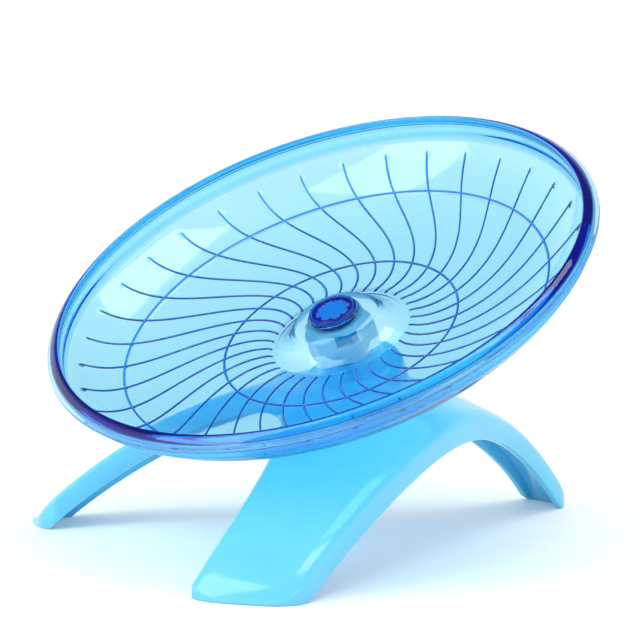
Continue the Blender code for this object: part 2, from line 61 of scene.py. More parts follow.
# %% Wheel frame
MM = 0.001
spin = next(joint for joint in frame["joints"] if joint["name"] == "wheel_spin")
spin_axis = Vector(spin["axis"]).normalized()
bearing_depth = 26.0 * MM
rim_middle = Vector(spin["pos_m"]) + spin_axis * bearing_depth
low_side = (Vector((1, 0, 0)) - spin_axis * spin_axis.x).normalized()
across = spin_axis.cross(low_side)
wheel_frame = Matrix((low_side, across, spin_axis)).transposed().to_4x4()
wheel_frame.translation = rim_middle
print("tilt of the saucer:", round(math.degrees(spin_axis.angle((0, 0, 1))), 1), "degrees")

# %% [markdown]
# ## The camera
#
# The photograph was taken with a long lens from just above the table. The saucer's rim is a circle of known
# size, so its picture, an ellipse, gives the direction and the distance. We place the camera from those:
# where it looks, how far it stands back, and how far the rim's middle lies off the centre of the picture.

# %% Camera
view_turn = math.radians(-143.6)
view_down = math.radians(7.6)
view_roll = math.radians(-0.66)
rim_distance = 933.2 * MM
rim_left = 0.4 * MM
rim_above = 14.7 * MM

forward = Vector((math.cos(view_turn) * math.cos(view_down), math.sin(view_turn) * math.cos(view_down),
                  -math.sin(view_down)))
level_right = forward.cross((0, 0, 1)).normalized()
right = Matrix.Rotation(-view_roll, 3, forward) @ level_right
up = right.cross(forward)
camera_data = bpy.data.cameras.new("photo_camera")
camera_data.sensor_width = 36
camera_data.lens = 168.75
camera_data.clip_start = 0.05
camera = bpy.data.objects.new("photo_camera", camera_data)
scene.collection.objects.link(camera)
camera_frame = Matrix((right, up, -forward)).transposed().to_4x4()
camera_frame.translation = rim_middle + right * rim_left - up * rim_above - forward * rim_distance
camera.matrix_world = camera_frame
scene.camera = camera
print("camera stands at", [round(value, 3) for value in camera_frame.translation])

# %% [markdown]
# ## A way to write shaders
#
# A material is a small network. One function that adds a node, sets its values and links its inputs keeps
# each material short enough to read. Colours are written as the hex values a paint program shows, and one
# function turns them into the linear numbers that the renderer works with.

# %% Shader helpers
def linear(hex_colour):
    """An sRGB hex colour as linear red, green, blue and a full alpha."""
    values = [int(hex_colour[i:i + 2], 16) / 255 for i in (1, 3, 5)]
    return tuple(v / 12.92 if v <= 0.04045 else ((v + 0.055) / 1.055) ** 2.4 for v in values) + (1.0,)


def add_node(tree, kind, inputs=None, links=None, **settings):
    """Adds a node of a kind, with its settings, its input values and the sockets linked to its inputs."""
    made = tree.nodes.new(kind)
    for name, value in settings.items():
        setattr(made, name, value)
    for name, value in (inputs or {}).items():
        made.inputs[name].default_value = value
    for name, socket in (links or {}).items():
        tree.links.new(socket, made.inputs[name])
    return made


def new_material(name, **inputs):
    """A material with a Principled shader, and the values of that shader's inputs by their names."""
    material = bpy.data.materials.new(name)
    material.use_nodes = True
    shader = material.node_tree.nodes["Principled BSDF"]
    for key, value in inputs.items():
        shader.inputs[key.replace("_", " ")].default_value = value
    return material, material.node_tree, shader


print("the stand's blue as linear light:", [round(v, 3) for v in linear("#79dbff")])

# %% [markdown]
# ## The table
#
# The picture is a product shot on white, so the table is wide and pale. We want its white to be seen, straight
# on and through or in the clear plastic, without more light falling on the object. So it glows a little, more
# so away from the object, and a Light Path node lets only the rays of the eye see that glow.

# %% Table
table_size = 60.0
glow_starts, glow_is_full = 0.2, 1.0
least_glow, most_glow = 0.16, 0.4


def rays_of_the_eye(tree):
    """One for the camera's rays and those that gloss or glass sends on, and zero for light on its way."""
    rays = add_node(tree, 'ShaderNodeLightPath')
    direct = add_node(tree, 'ShaderNodeMath', operation='MAXIMUM',
                      links={0: rays.outputs["Is Camera Ray"], 1: rays.outputs["Is Transmission Ray"]})
    every = add_node(tree, 'ShaderNodeMath', operation='MAXIMUM',
                     links={0: direct.outputs[0], 1: rays.outputs["Is Glossy Ray"]})
    return every.outputs[0]


def show_mesh(name, mesh):
    """Ends the work on an edit mesh and puts it in the scene as an object."""
    data = bpy.data.meshes.new(name)
    mesh.to_mesh(data)
    mesh.free()
    made = bpy.data.objects.new(name, data)
    scene.collection.objects.link(made)
    return made


table_mesh = bmesh.new()
bmesh.ops.create_grid(table_mesh, x_segments=1, y_segments=1, size=table_size)
table = show_mesh("table", table_mesh)
table_white, tree, shader = new_material("white_table", Base_Color=linear("#eeeff0"), Roughness=0.6,
                                         Specular_IOR_Level=0.2)
shape = add_node(tree, 'ShaderNodeTexCoord')
away = add_node(tree, 'ShaderNodeVectorMath', operation='LENGTH', links={0: shape.outputs["Object"]})
fill = add_node(tree, 'ShaderNodeMapRange', links={"Value": away.outputs["Value"]},
                inputs={"From Min": glow_starts, "From Max": glow_is_full, "To Min": least_glow,
                        "To Max": most_glow})
glow = add_node(tree, 'ShaderNodeMath', operation='MULTIPLY',
                links={0: fill.outputs["Result"], 1: rays_of_the_eye(tree)})
shader.inputs["Emission Color"].default_value = (1, 1, 1, 1)
tree.links.new(glow.outputs[0], shader.inputs["Emission Strength"])
table.data.materials.append(table_white)
print("table is in place")

# %% [markdown]
# ## The surround
#
# A plain white surround goes on where the table ends. For glossy rays alone its upper part is slate grey: the
# saucer's floor faces up, and a white sky mirrored in it would lie like a haze over the deep blue. The height
# of the ray blends the one into the other.

# %% Surround
grey_starts, grey_is_full = 0.35, 0.65
light_on_object, light_to_eye = 0.8, 1.0
world = bpy.data.worlds.new("white_surround")
scene.world = world
world.use_nodes = True
tree = world.node_tree
background = tree.nodes["Background"]
shape = add_node(tree, 'ShaderNodeTexCoord')
ray_height = add_node(tree, 'ShaderNodeSeparateXYZ', links={"Vector": shape.outputs["Generated"]})
overhead = add_node(tree, 'ShaderNodeMapRange', inputs={"From Min": grey_starts, "From Max": grey_is_full},
                    links={"Value": ray_height.outputs["Z"]})
rays = add_node(tree, 'ShaderNodeLightPath')
ceiling = add_node(tree, 'ShaderNodeMath', operation='MULTIPLY',
                   links={0: overhead.outputs["Result"], 1: rays.outputs["Is Glossy Ray"]})
sky = add_node(tree, 'ShaderNodeValToRGB', links={"Fac": ceiling.outputs[0]})
sky.color_ramp.elements[0].color, sky.color_ramp.elements[1].color = (1, 1, 1, 1), linear("#4a5560")
tree.links.new(sky.outputs["Color"], background.inputs["Color"])
strength = add_node(tree, 'ShaderNodeMapRange', inputs={"To Min": light_on_object, "To Max": light_to_eye},
                    links={"Value": rays_of_the_eye(tree)})
tree.links.new(strength.outputs["Result"], background.inputs["Strength"])
print("surround is in place")

# %% [markdown]
# ## Softboxes
#
# Glossy plastic shows its form by broad highlights, and those need broad lamps. Three area lamps stand where a
# photographer puts softboxes: high at the left, overhead, and a weak one near the camera. Their places are
# told from the middle of the rim, as the camera sees them.

# %% Softboxes
softboxes = {
    # name: metres to the right, towards the camera and up, then width, height and watts
    "left_softbox": (-0.75, 0.35, 0.65, 0.55, 0.8, 3.6),
    "top_softbox": (0.25, 0.1, 1.0, 0.7, 0.5, 3.4),
    "front_softbox": (0.45, 1.0, 0.35, 0.4, 0.6, 1.1),
}
for name, (aside, nearer, above, width, height, power) in softboxes.items():
    lamp = bpy.data.lights.new(name, 'AREA')
    lamp.shape = 'RECTANGLE'
    lamp.size = width
    lamp.size_y = height
    lamp.energy = power
    softbox = bpy.data.objects.new(name, lamp)
    scene.collection.objects.link(softbox)
    place = rim_middle + right * aside - forward * nearer + Vector((0, 0, above))
    softbox.location = place
    softbox.rotation_euler = (rim_middle - place).to_track_quat('-Z', 'Y').to_euler()
print("softboxes lit:", len(softboxes))

# %% [markdown]
# ## Turned pieces
#
# The saucer, the cap and the bearing carrier are all turned shapes: a section drawn in millimetres and
# carried round the axis. A Screw modifier would do for plain ones. Here the sections change on the way
# round, with ribs and scallops, so we ask for a point at every row and column and skin them.

# %% Skin helpers
def turned_row(height, steps, reach):
    """A row of points round the axis at a height; reach gives their distance from it by the turn."""
    turns = [2 * math.pi * j / steps for j in range(steps)]
    return [Vector((reach(turn) * math.cos(turn), reach(turn) * math.sin(turn), height)) * MM
            for turn in turns]


def skin(name, grid, part_of_row=None, sharp=35):
    """A closed skin through a grid of points, both ways round. part_of_row gives a row's material."""
    rows, columns = len(grid), len(grid[0])
    points = [point for row in grid for point in row]
    faces = []
    parts = []
    for i in range(rows):
        for j in range(columns):
            below, beside = (i + 1) % rows, (j + 1) % columns
            faces.append((i * columns + j, below * columns + j, below * columns + beside, i * columns + beside))
            parts.append(part_of_row(i) if part_of_row else 0)
    data = bpy.data.meshes.new(name)
    data.from_pydata(points, [], faces)
    data.polygons.foreach_set("material_index", parts)
    data.shade_smooth()
    data.set_sharp_from_angle(angle=math.radians(sharp))
    made = bpy.data.objects.new(name, data)
    scene.collection.objects.link(made)
    return made


def put_on_wheel(piece, node_name):
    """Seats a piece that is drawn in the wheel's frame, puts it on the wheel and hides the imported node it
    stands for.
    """
    piece.data.transform(wheel_frame)
    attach(piece, "wheel")
    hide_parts(node_name)


print("skin helpers ready")

# %% [markdown]
# ## The saucer's section
#
# The real saucer is one moulding of clear polystyrene with a wall of about 1.4 mm: a nearly flat floor that
# curls up into a steep side, a turned-over rim, and a hub in the middle. A flat floor with steep sides is
# what a power curve draws well, so one formula gives both faces of the bowl.

# %% Saucer section
rim_radius = 89.8
wall = 1.4
hub_wall = 1.15
bowl_depth = 23.3
bowl_power = 4.0
bowl_fall = 0.76
hub_base = 22.3
hub_rise = 7.9
neck = 8.3
neck_bore = 5.6
neck_top = -bowl_depth + hub_rise


def bowl_height(radius, extra=0.0):
    """Height of the running face below the rim, or of the face that lies an extra wall under it."""
    share = min(radius / (rim_radius - wall + extra), 1.0)
    return -(bowl_depth + extra) * (1 - share ** bowl_power) ** bowl_fall


print("floor at half the rim's radius:", round(bowl_height(rim_radius / 2), 1), "mm")

# %% [markdown]
# ## The hub
#
# Round the neck the floor rises into a soft clear dome with a shoulder. A spline would round its section too.
# Corner cutting is shorter, and the rim uses it again: each pass replaces a corner by two points, a quarter of
# the way along the lines that meet there. The wall thickens from the dome to the floor.

# %% Hub
rounding_passes = 2
wall_thickens_from = 0.75
least_step = 0.1
hub_corners = [(neck, neck_top), (11.4, neck_top - 0.6), (13.8, neck_top - 1.5), (14.9, neck_top - 3.2),
               (16.6, neck_top - 5.2), (19.0, neck_top - 6.8), (hub_base, bowl_height(hub_base))]


def rounded(corners):
    """An open row of points with its corners cut round; the first and last points stay."""
    for _ in range(rounding_passes):
        cut = [corners[0]]
        for start, end in zip(corners, corners[1:]):
            for share in (0.25, 0.75):
                cut.append(tuple(a * (1 - share) + b * share for a, b in zip(start, end)))
        corners = cut + [corners[-1]]
    return corners


hub_side = rounded(hub_corners)
hub_under = [(neck - wall, neck_top - wall)]
last = len(hub_side) - 1
for i, (radius, height) in enumerate(hub_side):
    ahead = hub_side[min(i + 1, last)]
    behind = hub_side[max(i - 1, 0)]
    slope = Vector((ahead[0] - behind[0], ahead[1] - behind[1])).normalized()
    thickened = max(i / last - wall_thickens_from, 0) / (1 - wall_thickens_from)
    thick = hub_wall + (wall - hub_wall) * thickened
    if height - slope.x * thick < neck_top - hub_wall - least_step:
        hub_under.append((radius + slope.y * thick, height - slope.x * thick))
print("hub side:", [(round(r, 1), round(z, 1)) for r, z in hub_side[::5]])

# %% [markdown]
# ## Running ribs and rings
#
# Thirty-four fine ribs and two rings give the animal grip. Seen from above each rib leaves the hub with a
# small hook and then sweeps round in a long S. They could be curves laid on the floor, but as part of the
# moulding their feet melt into it. So seven columns of the skin follow each rib, and a cosine lifts them.

# %% Rib path and height
raised = 0.5
ring_radii = (38.5, 69.6)
ring_half_width = 0.42
rib_count = 34
rib_inner = 22.6
rib_outer = 82.3
rib_half_width = 0.42
rib_fade = 1.2
rib_start = math.radians(3.1)
rib_sweep = math.radians(25.3)
rib_hook = math.radians(4.3)
rib_hook_share = 0.15


def rib_turn(radius):
    """How far round a rib has turned by a radius."""
    share = min(max((radius - rib_inner) / (rib_outer - rib_inner), 0.0), 1.0)
    hook = rib_hook * share / rib_hook_share * math.exp(1 - share / rib_hook_share)
    return rib_start + rib_sweep * (1 - math.cos(math.pi * share)) / 2 - hook


def rib_rise(radius):
    """How far a rib stands out at a radius: full height, with both ends eased into the floor."""
    ends = min((radius - rib_inner) / rib_fade, (rib_outer - radius) / rib_fade)
    return raised * min(max(ends, 0.0), 1.0)


def ring_rise(radius):
    """How far the two rings stand out at a radius."""
    away = min(abs(radius - middle) for middle in ring_radii) / ring_half_width
    return raised * math.cos(math.pi / 2 * min(away, 1.0))


print("a rib turns", round(math.degrees(rib_turn(rib_outer) - rib_turn(rib_inner)), 1), "degrees")

# %% [markdown]
# ## The turned-over rim
#
# The saucer's side ends in a lip that turns outwards and down, as thick as the wall, so the edge is strong and
# kind to the hand. We list the corners of its section, in millimetres from the axis and above the rim's
# plane, and cut them round as we did for the hub.

# %% Rim lip
lip_foot = 84.8
lip_outside = 87.3
lip_corners = [(lip_foot, bowl_height(lip_foot)), (85.4, -2.6), (85.0, 0.6), (85.1, 2.7), (86.6, 2.6),
               (88.8, 0.8), (89.9, -0.4), (89.75, -1.2), (89.25, -0.9), (88.4, 0.2), (87.5, 0.6),
               (87.0, -0.5), (86.8, -1.6), (lip_outside, bowl_height(lip_outside, wall))]
lip_section = rounded(lip_corners)
print("the lip's top is", round(max(z for _, z in lip_section), 1), "mm above the rim's plane")

# %% [markdown]
# ## The saucer's rows
#
# The skin needs a row wherever the section bends or something begins. Over the ends of the ribs and across
# the rings the rows lie close, and on the plain floor they lie wide, which keeps the mesh light. They run from
# the neck over the floor to the lip and back under the floor.

# %% Saucer rows
line_shares = (-1.0, -0.66, -0.33, 0.0, 0.33, 0.66, 1.0)
floor_rows = 26
floor_spread = 0.85
side_shares = (0.25, 0.5, 0.75)
under_shares = (0.975, 0.945, 0.91, 0.87, 0.82, 0.76, 0.7, 0.62, 0.54, 0.45, 0.36, 0.27, 0.18, 0.09, 0.0)
neck_edge = [(neck - 0.5, neck_top), (neck - 0.15, neck_top - 0.06), (neck, neck_top - 0.2)]

radii = {rib_inner, rib_inner + rib_fade / 2, rib_inner + rib_fade}
radii |= {rib_outer, rib_outer - rib_fade / 2, rib_outer - rib_fade}
radii |= {rib_inner + (rib_outer - rib_inner) * (i / floor_rows) ** floor_spread for i in range(floor_rows + 1)}
radii = {r for r in radii if all(abs(r - middle) > ring_half_width for middle in ring_radii)}
radii |= {middle + ring_half_width * share for middle in ring_radii for share in line_shares}
side_radii = [rib_outer + (lip_foot - rib_outer) * share for share in side_shares]
under_radii = [hub_base + (lip_outside - hub_base) * share for share in under_shares]

before_face = [(neck_bore, neck_top)] + neck_edge + hub_side[1:]
after_face = [(radius, bowl_height(radius)) for radius in side_radii] + lip_section
after_face += [(radius, bowl_height(radius, wall)) for radius in under_radii]
after_face += hub_under[-2::-1] + [(neck_bore, neck_top - wall)]
saucer_rows = [(radius, height, False) for radius, height in before_face]
saucer_rows += [(radius, bowl_height(radius), True) for radius in sorted(radii)]
saucer_rows += [(radius, height, False) for radius, height in after_face]
print("saucer rows:", len(saucer_rows))

# %% [markdown]
# ## The saucer's skin
#
# Seven columns lie across each rib, and eight more cross the floor to the next one. On the running face they
# lift into the ribs and rings. Everywhere else they only follow along, which keeps the skin closed.

# %% Saucer skin
floor_columns = 8
columns_each = len(line_shares) + floor_columns
saucer_columns = rib_count * columns_each
rib_pitch = 2 * math.pi / rib_count


def line_rise(radius, place):
    """How far the ribs and rings stand out at a radius, for a column by its place from its rib."""
    rib = math.cos(math.pi / 2 * line_shares[place]) * rib_rise(radius) if place < len(line_shares) else 0.0
    return max(rib, ring_rise(radius))


def saucer_point(radius, height, on_face, column):
    """One point of the saucer: its columns follow the ribs and lift into them on the running face."""
    rib, place = divmod(column, columns_each)
    half = rib_half_width / max(radius, rib_inner)
    if place < len(line_shares):
        off = line_shares[place] * half
    else:
        share = (place - len(line_shares) + 1) / (floor_columns + 1)
        off = half + (rib_pitch - 2 * half) * share
    if on_face:
        height += line_rise(radius, place)
    turn = rib_turn(radius) + rib * rib_pitch + off
    return Vector((radius * math.cos(turn), radius * math.sin(turn), height)) * MM


saucer_grid = [[saucer_point(*row, column) for column in range(saucer_columns)] for row in saucer_rows]
saucer = skin("saucer", saucer_grid, sharp=50)
print("saucer faces:", len(saucer.data.polygons))

# %% [markdown]
# ## Where the saucer is raised
#
# The ribs and rings read darker than the floor, from light that they bend away, and that shade is painted on
# them. A material of their own would split the closed body of plastic, so each point carries a number instead:
# zero on the floor and one on the crest of a line. The shader reads it as an attribute.

# %% Raised share
raised_share = saucer.data.attributes.new("raised_share", 'FLOAT', 'POINT')
raised_share.data.foreach_set("value", [line_rise(radius, column % columns_each) / raised if on_face else 0.0
                                        for radius, _, on_face in saucer_rows
                                        for column in range(saucer_columns)])
print("raised points:", sum(value.value > 0.5 for value in raised_share.data))

# %% [markdown]
# ## Clear blue polystyrene
#
# General-purpose polystyrene is the clear, brittle, glassy plastic of small toys. Its index is 1.59. Moulding
# leaves it very smooth, with the faintest waviness, which bends its highlights. On the crest of a line it is
# painted a mid blue and made less clear: painted shade, for the light that the ribs bend away. Light on its way
# to the table or the stand goes straight through, as glass alone would leave them dark.

# %% Clear plastic
wave_size = 14.0
wave_strength = 0.12


def let_light_through(tree, shader):
    """Lets light on its way cross a clear piece straight, so that what lies under it is lit in its colour."""
    rays = add_node(tree, 'ShaderNodeLightPath')
    on_its_way = add_node(tree, 'ShaderNodeMath', operation='MAXIMUM',
                          links={0: rays.outputs["Is Shadow Ray"], 1: rays.outputs["Is Diffuse Ray"]})
    straight = add_node(tree, 'ShaderNodeBsdfTransparent')
    choice = add_node(tree, 'ShaderNodeMixShader', links={0: on_its_way.outputs[0], 1: shader.outputs["BSDF"],
                                                          2: straight.outputs["BSDF"]})
    tree.links.new(choice.outputs["Shader"], tree.nodes["Material Output"].inputs["Surface"])


def wave_bump(tree, shader, wave_mm):
    """The faint waviness that moulding leaves on a glossy face."""
    shape = add_node(tree, 'ShaderNodeTexCoord')
    waves = add_node(tree, 'ShaderNodeTexNoise', inputs={"Scale": 1 / (wave_mm * MM), "Detail": 1.0},
                     links={"Vector": shape.outputs["Object"]})
    bump = add_node(tree, 'ShaderNodeBump', inputs={"Strength": wave_strength, "Distance": 0.3 * MM},
                    links={"Height": waves.outputs["Fac"]})
    tree.links.new(bump.outputs["Normal"], shader.inputs["Normal"])


clear_blue, tree, shader = new_material("clear_blue_polystyrene", Roughness=0.035, IOR=1.59,
                                        Specular_IOR_Level=0.36, Transmission_Weight=1.0)
wave_bump(tree, shader, wave_size)
lines = add_node(tree, 'ShaderNodeAttribute', attribute_name="raised_share")
# painted shade: the crests of the ribs and rings get a darker blue and less clearness, for the light they bend
# away
line_painted_shade = add_node(tree, 'ShaderNodeValToRGB', links={"Fac": lines.outputs["Fac"]})
line_painted_shade.color_ramp.elements[0].position, line_painted_shade.color_ramp.elements[1].position = 0.03, 0.4
line_painted_shade.color_ramp.elements[0].color = linear("#fafdff")
line_painted_shade.color_ramp.elements[1].color = linear("#2a8cec")
line_clear = add_node(tree, 'ShaderNodeMapRange', inputs={"From Min": 0.25, "To Min": 1.0, "To Max": 0.2},
                      links={"Value": lines.outputs["Fac"]})
tree.links.new(line_clear.outputs["Result"], shader.inputs["Transmission Weight"])
tree.links.new(line_painted_shade.outputs["Color"], shader.inputs["Base Color"])
let_light_through(tree, shader)
print("clear plastic drawn")

# %% [markdown]
# ## Dye in the plastic
#
# The plastic is dyed through, so its colour comes from how much of it the light has crossed: a thin wall is
# pale cyan, and an edge seen along its length is deep blue. A surface tint can't do that, so the colour goes
# into the volume, as absorption. At the rim the real plastic also shows violet, from light that it guides
# along. A faint glow in the volume stands for it, and adds up only along an edge.

# %% Dye and edge glow
dye_colour = linear("#00e6fd")
dye_density = 620.0
dye = add_node(tree, 'ShaderNodeVolumeAbsorption', inputs={"Color": dye_colour, "Density": dye_density})
edge_glow = add_node(tree, 'ShaderNodeEmission', inputs={"Color": linear("#9a3cff"), "Strength": 10.0})
body = add_node(tree, 'ShaderNodeAddShader', links={0: dye.outputs["Volume"], 1: edge_glow.outputs["Emission"]})
tree.links.new(body.outputs["Shader"], tree.nodes["Material Output"].inputs["Volume"])
saucer.data.materials.append(clear_blue)
put_on_wheel(saucer, "dish")
for crossing in (1.7, 5.0, 15.0):
    left_over = [math.exp(-dye_density * (1 - part) * crossing * MM) for part in dye_colour[:3]]
    print("light left after", crossing, "mm:", [round(part, 2) for part in left_over])

# %% [markdown]
# ## Hub cap
#
# A small plug closes the neck and hides the nut. Its face has a sunken floor with eight scallops round it,
# and a spigot below holds it in the neck. A Boolean could cut the scallops, but a row whose distance from the
# axis changes with the turn gives them smooth sides at no cost.

# %% Cap section
cap_radius = 7.8
cap_seat = neck_top + 0.3
cap_top = cap_seat + 1.3
recess_radius = 5.7
recess_floor = cap_top - 0.5
lobes = 8
lobe_depth = 0.22
lobe_fullness = 0.7
spigot_radius = 5.3
spigot_bore = 4.3
spigot_end = cap_seat - 3.3
cap_axis = 0.02
cap_steps = 160


def scallop(turn, reach):
    """The recess's wavy edge: eight lobes round a circle."""
    return reach * (1 - lobe_depth + lobe_depth * abs(math.cos(lobes * turn / 2)) ** lobe_fullness)


cap_rows = [
    # distance from the axis, height, whether it is wavy, and the part of the cap
    (cap_axis, recess_floor, False, "floor"), (2.2, recess_floor + 0.12, False, "floor"),
    (3.6, recess_floor, False, "floor"), (recess_radius - 0.9, recess_floor, True, "floor"),
    (recess_radius - 0.3, recess_floor + 0.05, True, "painted_shade"), (recess_radius, cap_top - 0.3, True, "painted_shade"),
    (recess_radius + 0.3, cap_top - 0.2, True, "painted_shade"), (6.7, cap_top - 0.2, False, "lip"),
    (6.85, cap_top, False, "lip"), (cap_radius - 0.6, cap_top, False, "painted_shade"),
    (cap_radius - 0.3, cap_top - 0.06, False, "painted_shade"), (cap_radius - 0.1, cap_top - 0.25, False, "painted_shade"),
    (cap_radius, cap_top - 0.5, False, "lip"), (cap_radius, cap_seat, False, "lip"),
    (spigot_radius, cap_seat, False, "lip"), (spigot_radius, spigot_end, False, "lip"),
    (spigot_bore, spigot_end, False, "lip"), (spigot_bore, cap_seat, False, "lip"),
    (cap_axis, cap_seat, False, "lip"),
]
cap_grid = [turned_row(height, cap_steps, lambda turn: scallop(turn, radius) if wavy else radius)
            for radius, height, wavy, _ in cap_rows]
print("cap is", 2 * cap_radius, "mm across")

# %% [markdown]
# ## Blue polystyrene of the cap, with painted shade
#
# The cap is the same plastic, but thicker and over a dark hollow, so it reads as a deep blue. Three finishes
# of the surface paint that light and shade: a navy of painted shade in the scallops and on the shoulder, a
# plain blue on the floor with a fine ripple, and a bright clear blue at the thin edges.

# %% Cap finishes
cap_finishes = {
    # part: name, colour, roughness, how clear it is, and its waves in millimetres
    "floor": ("cap_floor_polystyrene", "#1480ec", 0.12, 0.2, 1.0),
    # painted shade: the navy of the scallops and the shoulder stands for the dark hollow under the cap
    "painted_shade": ("cap_scallop_painted_shade", "#0a1496", 0.05, 0.2, 6.0),
    "lip": ("cap_lip_polystyrene", "#2f8ff0", 0.03, 0.7, 6.0),
}
cap_parts = list(cap_finishes)
hub_cap = skin("cap", cap_grid, lambda i: cap_parts.index(cap_rows[i][3]))
for name, tint, roughness, clear, wave_mm in cap_finishes.values():
    finish, tree, shader = new_material(name, Base_Color=linear(tint), Roughness=roughness, IOR=1.59,
                                        Transmission_Weight=clear)
    wave_bump(tree, shader, wave_mm)
    hub_cap.data.materials.append(finish)
put_on_wheel(hub_cap, "hub_cap")
print("cap faces:", len(hub_cap.data.polygons))

# %% [markdown]
# ## Bearing carrier
#
# Through the clear hub we see the holder that grips the bearing: a skirt of six soft facets, drawn in at the
# shoulder to pass under the neck, with a shelf inside that the bearing seats against. A hexagon with bevels
# would look cut. A cosine of the turn makes the facets soft.

# %% Carrier
bearing_half = 2.5
bearing_seat = 8.3
carrier_corner = 11.3
carrier_bottom = -bearing_depth / MM - bearing_half - 1.5
carrier_shelf = -bearing_depth / MM + bearing_half + 0.3
carrier_shoulder = -18.9
carrier_top = neck_top - hub_wall - 1.5
carrier_steps = 144
facets = 6
facet_dip = 0.05

carrier_outside = [
    # height, and how far the corners are drawn in
    (carrier_bottom, 0.5), (carrier_bottom + 0.15, 0.15), (carrier_bottom + 0.5, 0.0), (-22.0, 0.0),
    (-20.0, 0.5), (carrier_shoulder, 1.3), (carrier_top, 2.2),
]
carrier_inside = [(carrier_top, neck_bore), (carrier_shelf, neck_bore), (carrier_shelf, bearing_seat),
                  (carrier_bottom, bearing_seat)]
carrier_grid = [turned_row(height, carrier_steps, lambda turn: (carrier_corner - drawn)
                           * (1 - facet_dip * (1 - math.cos(facets * turn))))
                for height, drawn in carrier_outside]
carrier_grid += [turned_row(height, carrier_steps, lambda turn: reach) for height, reach in carrier_inside]
carrier_grid.reverse()
carrier = skin("carrier", carrier_grid, sharp=30)
print("carrier rises from", round(carrier_bottom, 1), "to", round(carrier_top, 1), "mm below the rim")

# %% [markdown]
# ## Carrier windows
#
# Three windows are let into the facets as pockets that stop just above the bearing's shelf. A box cut out of a
# rounded facet is just what a Boolean is for, and the stand uses the same helper.

# %% Windows
window_count = 3
window_turn = 49
window_width = 7.0
window_height = 4.1
window_floor = 7.6
window_top = carrier_shoulder
cutter_depth = 8


def work(piece, tool, operation):
    """Joins a tool to a piece or cuts it away, keeps the result as the piece's mesh, and clears the tool."""
    bpy.context.view_layer.update()
    step = piece.modifiers.new("step", 'BOOLEAN')
    step.operation = operation
    step.object = tool
    result = bpy.data.meshes.new_from_object(piece.evaluated_get(bpy.context.evaluated_depsgraph_get()))
    piece.modifiers.clear()
    piece.data = result
    bpy.data.objects.remove(tool)


for i in range(window_count):
    turn = math.radians(window_turn + 360 / window_count * i)
    window = bmesh.new()
    bmesh.ops.create_cube(window, size=1.0)
    bmesh.ops.scale(window, vec=(cutter_depth * MM, window_width * MM, window_height * MM), verts=window.verts)
    bmesh.ops.translate(window, vec=((window_floor + cutter_depth / 2) * MM, 0,
                                     (window_top - window_height / 2) * MM), verts=window.verts)
    bmesh.ops.rotate(window, cent=(0, 0, 0), matrix=Matrix.Rotation(turn, 3, 'Z'), verts=window.verts)
    work(carrier, show_mesh("window_cutter", window), 'DIFFERENCE')
print("carrier faces:", len(carrier.data.polygons))

# %% [markdown]
# ## Milky polypropylene
#
# The carrier is undyed polypropylene, index 1.49, which lets light in and scatters it, so it is drawn with
# some light under its surface and a satin skin. Inside the windows it stands in the blue light and shade that
# come through the saucer, and a second finish paints that blue shade on the pockets, which gives them their
# depth.

# %% Carrier finish
facet_share = 1 - 2 * facet_dip
margin = 0.9
milky, tree, shader = new_material("milky_polypropylene", Base_Color=linear("#fbfeff"), Roughness=0.28,
                                   IOR=1.49, Transmission_Weight=0.25, Subsurface_Weight=0.35,
                                   Subsurface_Scale=0.002)
shader.inputs["Subsurface Radius"].default_value = (0.8, 1.0, 1.0)
# painted shade: this blue finish stands for the saucer's blue light and shade inside the window pockets
painted_window_shade, _, _ = new_material("milky_polypropylene_painted_shade", Base_Color=linear("#14b4d8"), Roughness=0.35,
                              IOR=1.49)
carrier.data.materials.clear()
carrier.data.materials.append(milky)
carrier.data.materials.append(painted_window_shade)
# faces inside the window pockets get the painted blue shade
for polygon in carrier.data.polygons:
    spot = polygon.center / MM
    polygon.material_index = int(spot.to_2d().length < carrier_corner * facet_share - margin
                                 and window_top - window_height - margin < spot.z < window_top - 0.1)
carrier.data.shade_smooth()
carrier.data.set_sharp_from_angle(angle=math.radians(30))
put_on_wheel(carrier, "bearing_carrier")
print("faces in the blue finish:", sum(polygon.material_index for polygon in carrier.data.polygons))

# %% [markdown]
# ## The stand seen from above
#
# The stand is one moulding: a thin crown that runs out into three legs, with its edges turned down. The legs
# are unequal and set askew. Seen from above its outline is three toe ends joined by three arches, and an
# arch is just what a Bezier curve draws. We keep each leg's own angle, reach and width as values.

# %% Stand outline
leg_angles = [math.radians(angle) for angle in (-63.4, 17.4, 161.3)]
side_skews = [math.radians(angle) for angle in (27.8, -22.2, 21.0)]
toe_skews = [math.radians(angle) for angle in (27.8, 0.5, -4.0)]
leg_reaches = (106.2, 106.9, 81.0)
leg_widths = (21.2, 33.2, 21.2)
toe_bow = 4.0
toe_steps = 16
arch_steps = 48
arch_handle_share = 0.72


def leg_directions(leg):
    """A leg's outward direction, the direction its sides run and the one its toe end faces."""
    turn = leg_angles[leg]
    return [Vector((math.cos(angle), math.sin(angle)))
            for angle in (turn, turn + side_skews[leg], turn + toe_skews[leg])]


def toe_point(leg, share):
    """A point of a leg's bowed toe end, from its right corner at 0 to its left corner at 1."""
    out, _, facing = leg_directions(leg)
    left = Vector((-facing.y, facing.x))
    middle_line = out * leg_reaches[leg] + left * leg_widths[leg] * (share - 0.5)
    return middle_line - facing * toe_bow * (2 * share - 1) ** 4


